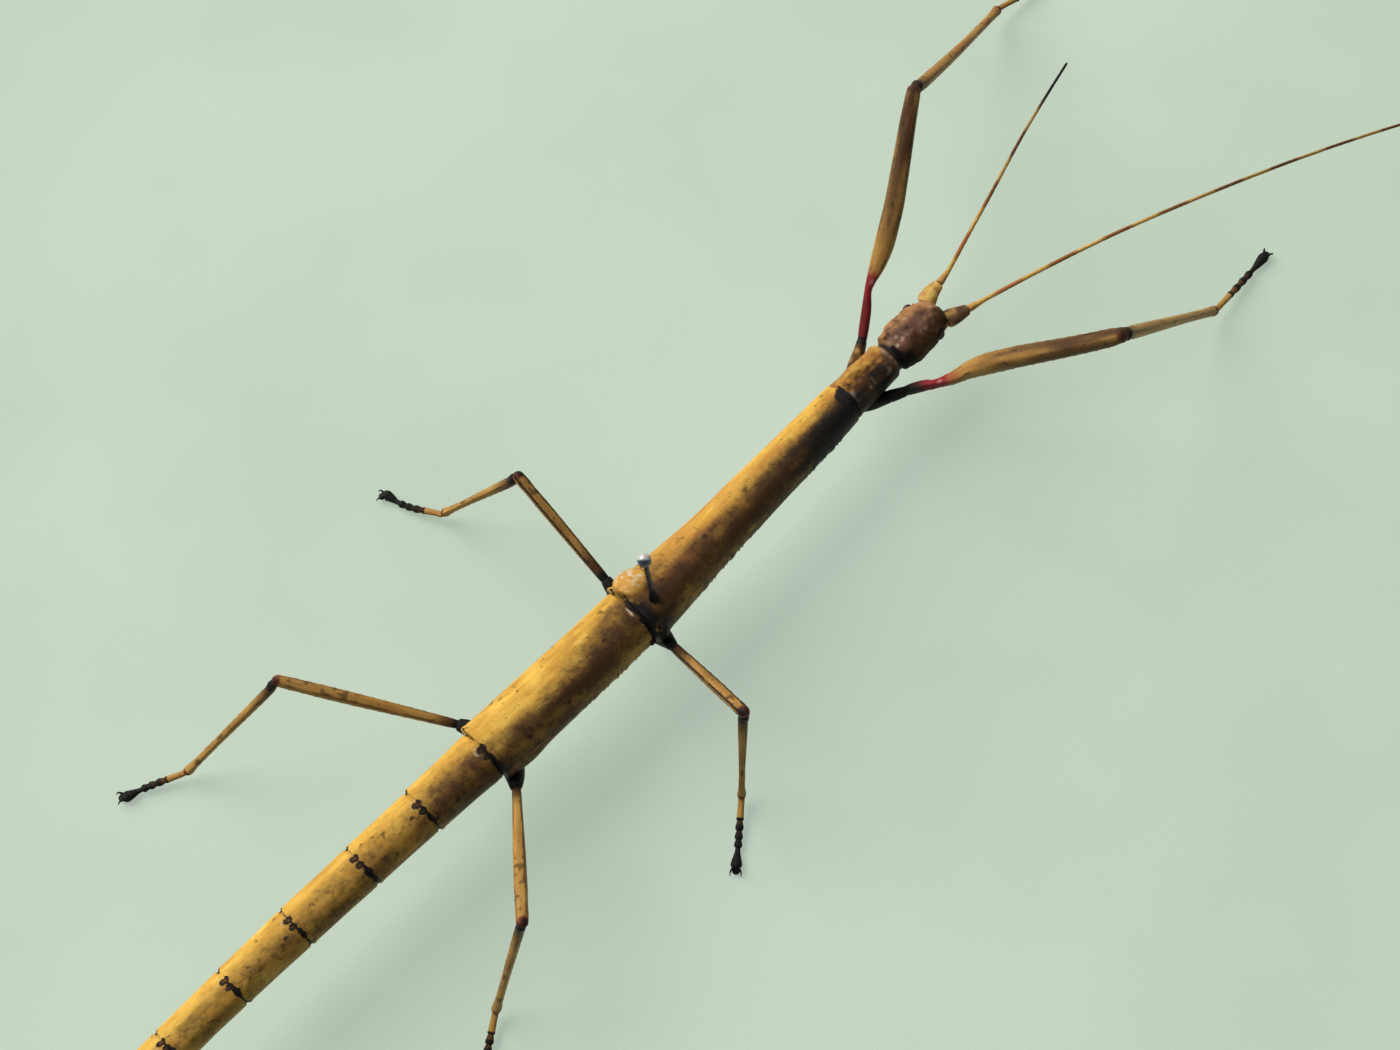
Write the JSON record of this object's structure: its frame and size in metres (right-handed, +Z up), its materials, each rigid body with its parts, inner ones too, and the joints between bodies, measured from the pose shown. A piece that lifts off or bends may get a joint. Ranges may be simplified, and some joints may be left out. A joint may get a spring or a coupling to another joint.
{
  "type": "giant stick insect",
  "caption": "Dried giant stick insect on its entomological pin: tube-like jointed body, boxy head, long banded feelers and slender legs standing on small foot pads.",
  "frame": {"origin": "centre of the bounding box at floor level, under the rear of the mesothorax", "axes": "-Y from tail to head, +X towards the insect's left side, +Z up from the floor it stands on"},
  "size_m": [0.0886, 0.2792, 0.0403],
  "materials": {
    "straw_cuticle": "dry cuticle, straw yellow with brown streaks, satin",
    "ochre_cuticle": "dry cuticle, ochre with dark dashes, satin",
    "head_cuticle": "granular grey-brown cuticle, matte",
    "bone_yellow_cuticle": "smooth yellow cuticle, banded brown",
    "crimson_brown_cuticle": "crimson at the base turning brown, satin",
    "black_cuticle": "black cuticle, satin",
    "eye": "black, glossy",
    "pin_steel": "blackened steel wire",
    "pin_glass": "pearl white ball, glossy"
  },
  "bodies": {
    "root": {"mesothorax": "straw_cuticle", "metathorax": "straw_cuticle", "median_segment": "straw_cuticle", "abdomen_2": "straw_cuticle", "abdomen_3": "straw_cuticle", "abdomen_4": "straw_cuticle", "abdomen_5": "straw_cuticle", "abdomen_6": "straw_cuticle", "abdomen_7": "straw_cuticle", "abdomen_8": "straw_cuticle", "abdomen_9": "straw_cuticle", "abdomen_10": "straw_cuticle", "operculum": "straw_cuticle", "prothorax": "ochre_cuticle", "tibia_fore_left": "ochre_cuticle", "tibia_fore_right": "ochre_cuticle", "tibia_mid_left": "ochre_cuticle", "tibia_mid_right": "ochre_cuticle", "tibia_hind_left": "ochre_cuticle", "tibia_hind_right": "ochre_cuticle", "tarsus_fore_left": "ochre_cuticle", "tarsus_fore_right": "ochre_cuticle", "tarsus_mid_left": "ochre_cuticle", "tarsus_mid_right": "ochre_cuticle", "tarsus_hind_left": "ochre_cuticle", "tarsus_hind_right": "ochre_cuticle", "femur_mid_left": "ochre_cuticle", "femur_mid_right": "ochre_cuticle", "femur_hind_left": "ochre_cuticle", "femur_hind_right": "ochre_cuticle", "cercus_left": "ochre_cuticle", "cercus_right": "ochre_cuticle", "head": "head_cuticle", "jaws": "head_cuticle", "antenna_left": "bone_yellow_cuticle", "antenna_right": "bone_yellow_cuticle", "palp_left": "bone_yellow_cuticle", "palp_right": "bone_yellow_cuticle", "femur_fore_left": "crimson_brown_cuticle", "femur_fore_right": "crimson_brown_cuticle", "neck": "black_cuticle", "coxa_fore_left": "black_cuticle", "coxa_fore_right": "black_cuticle", "coxa_mid_left": "black_cuticle", "coxa_mid_right": "black_cuticle", "coxa_hind_left": "black_cuticle", "coxa_hind_right": "black_cuticle", "claws_fore_left": "black_cuticle", "claws_fore_right": "black_cuticle", "claws_mid_left": "black_cuticle", "claws_mid_right": "black_cuticle", "claws_hind_left": "black_cuticle", "claws_hind_right": "black_cuticle", "eye_left": "eye", "eye_right": "eye", "pin_shaft": "pin_steel", "pin_head": "pin_glass"}
  },
  "joints": []
}
